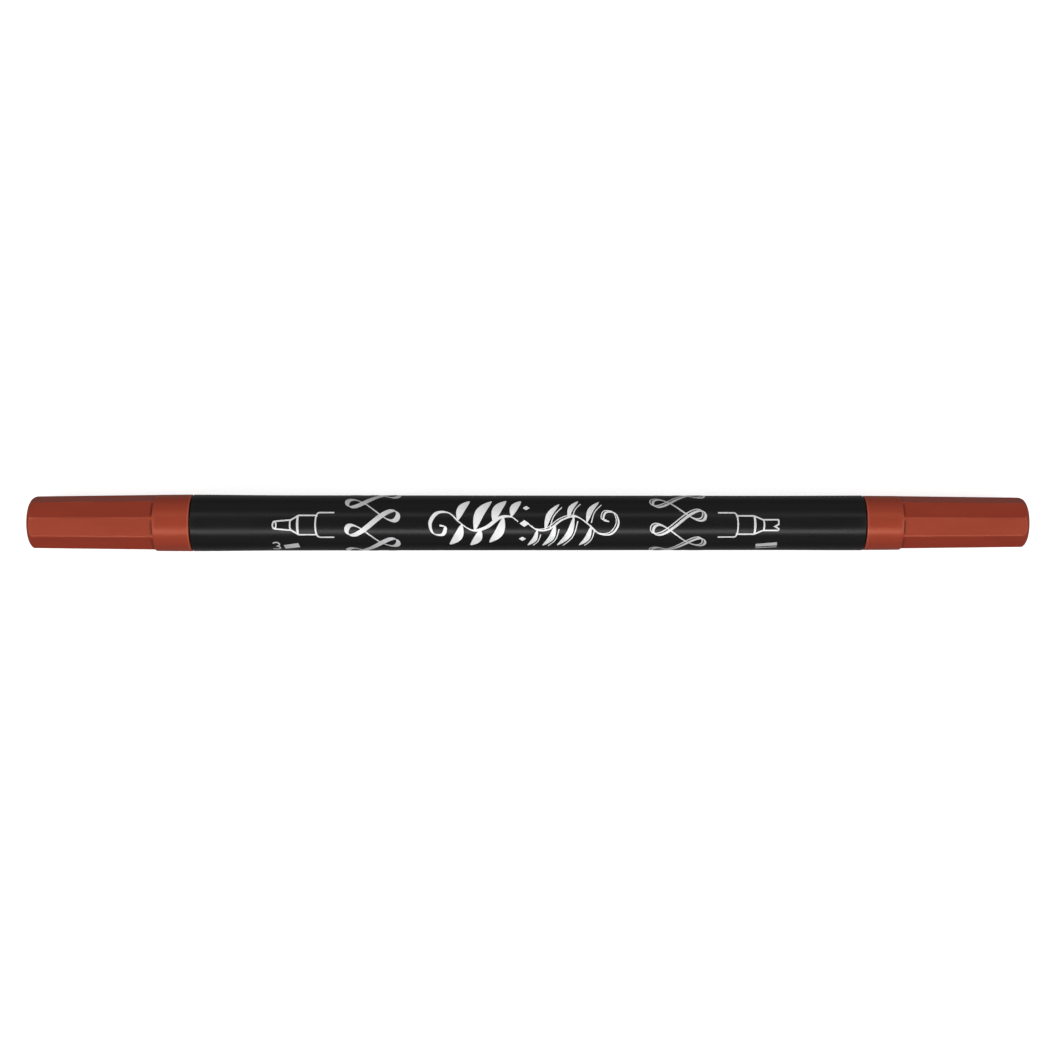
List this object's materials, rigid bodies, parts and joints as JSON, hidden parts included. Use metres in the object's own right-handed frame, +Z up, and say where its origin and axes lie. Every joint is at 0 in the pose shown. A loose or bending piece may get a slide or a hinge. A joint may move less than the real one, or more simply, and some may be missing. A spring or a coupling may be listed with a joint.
{
  "type": "calligraphy marker",
  "caption": "Slim double-ended calligraphy marker with nine-sided pull-off caps, a broad chisel nib and a forked twin-line nib on a straight round barrel.",
  "frame": {"origin": "on the pen's axis, midway between the two flat cap ends", "axes": "+X along the pen's axis towards the twin nib end, +Z up when the pen lies with its printed front upwards, +Y across the pen"},
  "size_m": [0.1616, 0.0092, 0.0092],
  "materials": {
    "barrel_plastic": "satin black moulded polypropylene",
    "cap_plastic": "satin terracotta brown moulded polypropylene",
    "holder_plastic": "satin black moulded polypropylene",
    "inner_cap_plastic": "soft uncoloured polyethylene",
    "nib_fibre": "bonded fibre stained with brown ink",
    "reservoir_fibre": "fibre tow soaked with brown ink",
    "wrap_film": "clear polypropylene film",
    "foil_print": "silver hot-stamped foil decoration on the barrel"
  },
  "bodies": {
    "pen": {"barrel": "barrel_plastic", "ink_reservoir": "reservoir_fibre", "reservoir_wrap": "wrap_film", "chisel_nib_holder": "holder_plastic", "twin_nib_holder": "holder_plastic", "chisel_nib": "nib_fibre", "twin_nib": "nib_fibre"},
    "chisel_cap": {"chisel_cap_shell": "cap_plastic", "chisel_inner_cap": "inner_cap_plastic"},
    "twin_cap": {"twin_cap_shell": "cap_plastic", "twin_inner_cap": "inner_cap_plastic"}
  },
  "joints": [
    {"name": "chisel_cap_pull", "type": "slide", "parent": "pen", "child": "chisel_cap", "axis": [-1, 0, 0], "range_m": [0, 0.04]},
    {"name": "twin_cap_pull", "type": "slide", "parent": "pen", "child": "twin_cap", "axis": [1, 0, 0], "range_m": [0, 0.04]}
  ]
}
